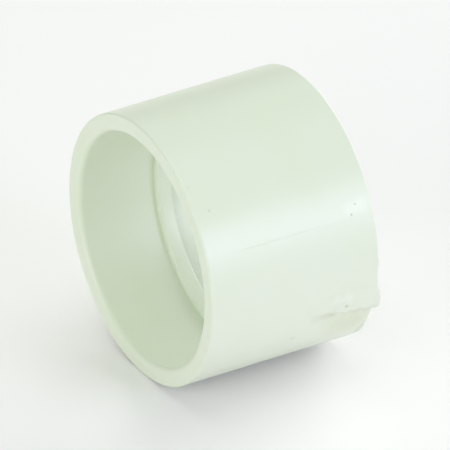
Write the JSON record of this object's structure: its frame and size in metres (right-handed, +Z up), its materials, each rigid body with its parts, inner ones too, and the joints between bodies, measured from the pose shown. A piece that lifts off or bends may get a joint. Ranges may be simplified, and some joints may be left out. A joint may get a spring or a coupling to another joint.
{
  "type": "pipe coupling",
  "caption": "Short straight coupling for plastic drain pipe: a sleeve with a socket in each end and a thin stop ring between them, cemented over two pipe ends.",
  "frame": {"origin": "centre of the near socket's mouth, in the plane of the near end face", "axes": "+X along the fitting's axis, into the near socket; the near mouth opens towards -X; +Z up with the fitting lying on its side"},
  "size_m": [0.0392, 0.0562, 0.0562],
  "materials": {
    "pvc_wall": "moulded, soft gloss, very pale greenish white",
    "pvc_marks": "same plastic as the wall, with the mould's marks left as moulded"
  },
  "bodies": {
    "root": {"near_socket": "pvc_wall", "stop_ring": "pvc_wall", "far_socket": "pvc_wall", "parting_seam_near_side": "pvc_marks", "parting_seam_far_side": "pvc_marks", "gate_ramp": "pvc_marks", "gate_stub": "pvc_marks", "gate_mark": "pvc_marks", "edge_flash": "pvc_marks", "edge_burr": "pvc_marks"}
  },
  "joints": []
}
